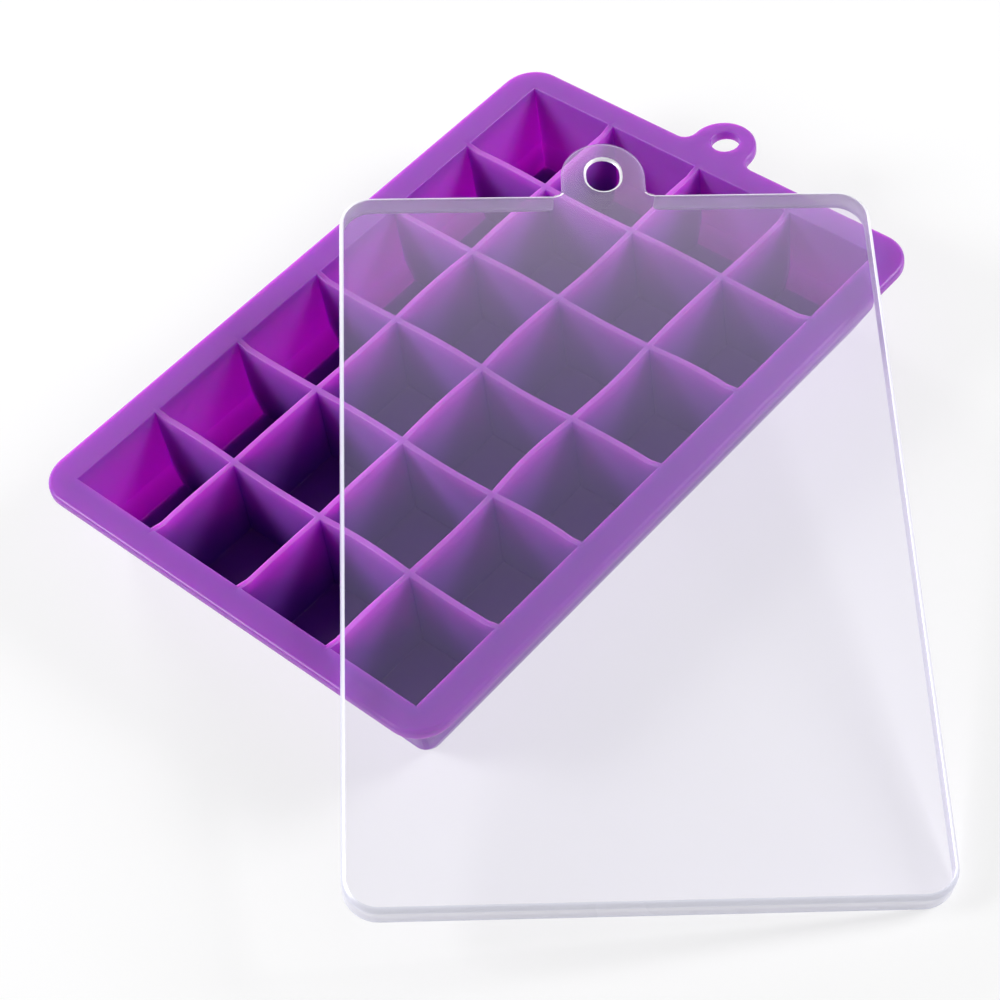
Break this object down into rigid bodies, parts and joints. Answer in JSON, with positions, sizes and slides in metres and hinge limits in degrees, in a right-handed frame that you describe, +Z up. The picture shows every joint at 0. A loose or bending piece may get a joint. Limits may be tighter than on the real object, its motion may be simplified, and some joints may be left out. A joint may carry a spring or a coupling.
{
  "type": "silicone ice cube tray",
  "caption": "Flexible silicone ice cube tray with square cells, a flat rim and a hanging tab, and a loose frosted press-on lid lying askew over one side.",
  "frame": {"origin": "middle of the tray's flat underside, where it stands on the table", "axes": "+Z up, +X along the tray's long side towards its hanging tab, +Y towards its back long side; the lid lies over the front long side at -Y"},
  "size_m": [0.2414, 0.2405, 0.0549],
  "materials": {
    "silicone": "satin",
    "lid_plastic": "frosted"
  },
  "bodies": {
    "tray": {"rim_front": "silicone", "rim_back": "silicone", "rim_left": "silicone", "rim_right": "silicone", "hang_tab": "silicone", "wall_front": "silicone", "wall_back": "silicone", "wall_left": "silicone", "wall_right": "silicone", "base_bevel_front": "silicone", "base_bevel_back": "silicone", "base_bevel_left": "silicone", "base_bevel_right": "silicone", "tray_floor": "silicone", "long_divider_1": "silicone", "long_divider_2": "silicone", "long_divider_3": "silicone", "cross_divider_1": "silicone", "cross_divider_2": "silicone", "cross_divider_3": "silicone", "cross_divider_4": "silicone", "cross_divider_5": "silicone"},
    "lid": {"lid_panel": "lid_plastic", "lid_tab": "lid_plastic", "lid_skirt_left": "lid_plastic", "lid_skirt_right": "lid_plastic", "lid_skirt_near": "lid_plastic", "lid_skirt_far_left": "lid_plastic", "lid_skirt_far_right": "lid_plastic", "lid_corner_far_left": "lid_plastic", "lid_corner_far_right": "lid_plastic", "lid_corner_near_left": "lid_plastic", "lid_corner_near_right": "lid_plastic"}
  },
  "joints": [
    {"name": "lid_lift", "type": "slide", "parent": "tray", "child": "lid", "axis": [0, 0, 1], "range_m": [0, 0.06]}
  ]
}
